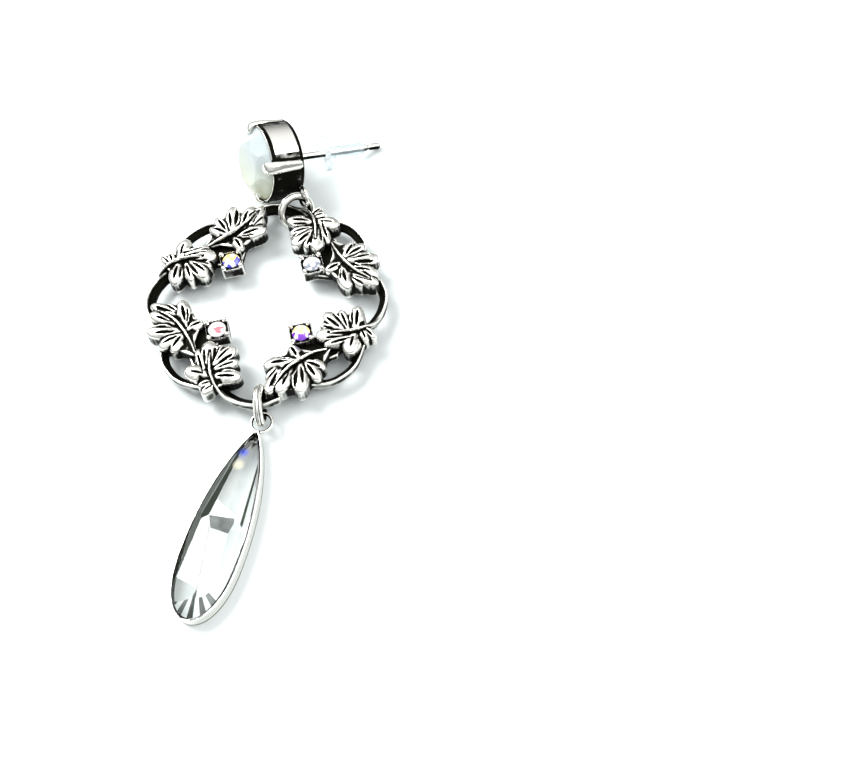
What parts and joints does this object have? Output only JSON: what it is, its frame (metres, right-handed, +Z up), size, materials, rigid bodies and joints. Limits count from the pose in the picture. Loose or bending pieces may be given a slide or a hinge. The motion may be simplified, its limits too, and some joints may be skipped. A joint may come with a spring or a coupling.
{
  "type": "chandelier earring",
  "caption": "Lying chandelier earring of antiqued silver metal: round stone stud with post and clear nut, leafy openwork wreath with small crystals, and a long faceted drop on a jump ring",
  "frame": {"origin": "centre of the whole object's box in plan, on the surface that it lies on", "axes": "+Z up from the surface; +Y towards the stud's end of the earring, -Y towards the drop; +X to the side that the ear post points to"},
  "size_m": [0.0264, 0.058, 0.0096],
  "materials": {
    "antiqued_silver": "silver-plated brass casting, darkened in the recesses and rubbed bright on the high places",
    "opal_glass": "milky opal glass, polished, foiled behind",
    "clear_crystal": "clear cut glass, polished",
    "coated_crystal": "clear cut glass with a rainbow coating",
    "clear_silicone": "clear soft silicone"
  },
  "bodies": {
    "earring": {"stud_setting": "antiqued_silver", "stud_stone": "opal_glass", "top_ring": "antiqued_silver", "wreath": "antiqued_silver", "rhinestone_1": "coated_crystal", "rhinestone_2": "coated_crystal", "rhinestone_3": "coated_crystal", "rhinestone_4": "coated_crystal", "drop_link": "antiqued_silver", "drop_bezel": "antiqued_silver", "drop_stone": "clear_crystal"},
    "ear_nut": {"ear_nut": "clear_silicone"}
  },
  "joints": [
    {"name": "nut_slide", "type": "slide", "parent": "earring", "child": "ear_nut", "axis": [0.866, 0.3874, -0.3162], "range_m": [-0.0044, 0.0077]}
  ]
}
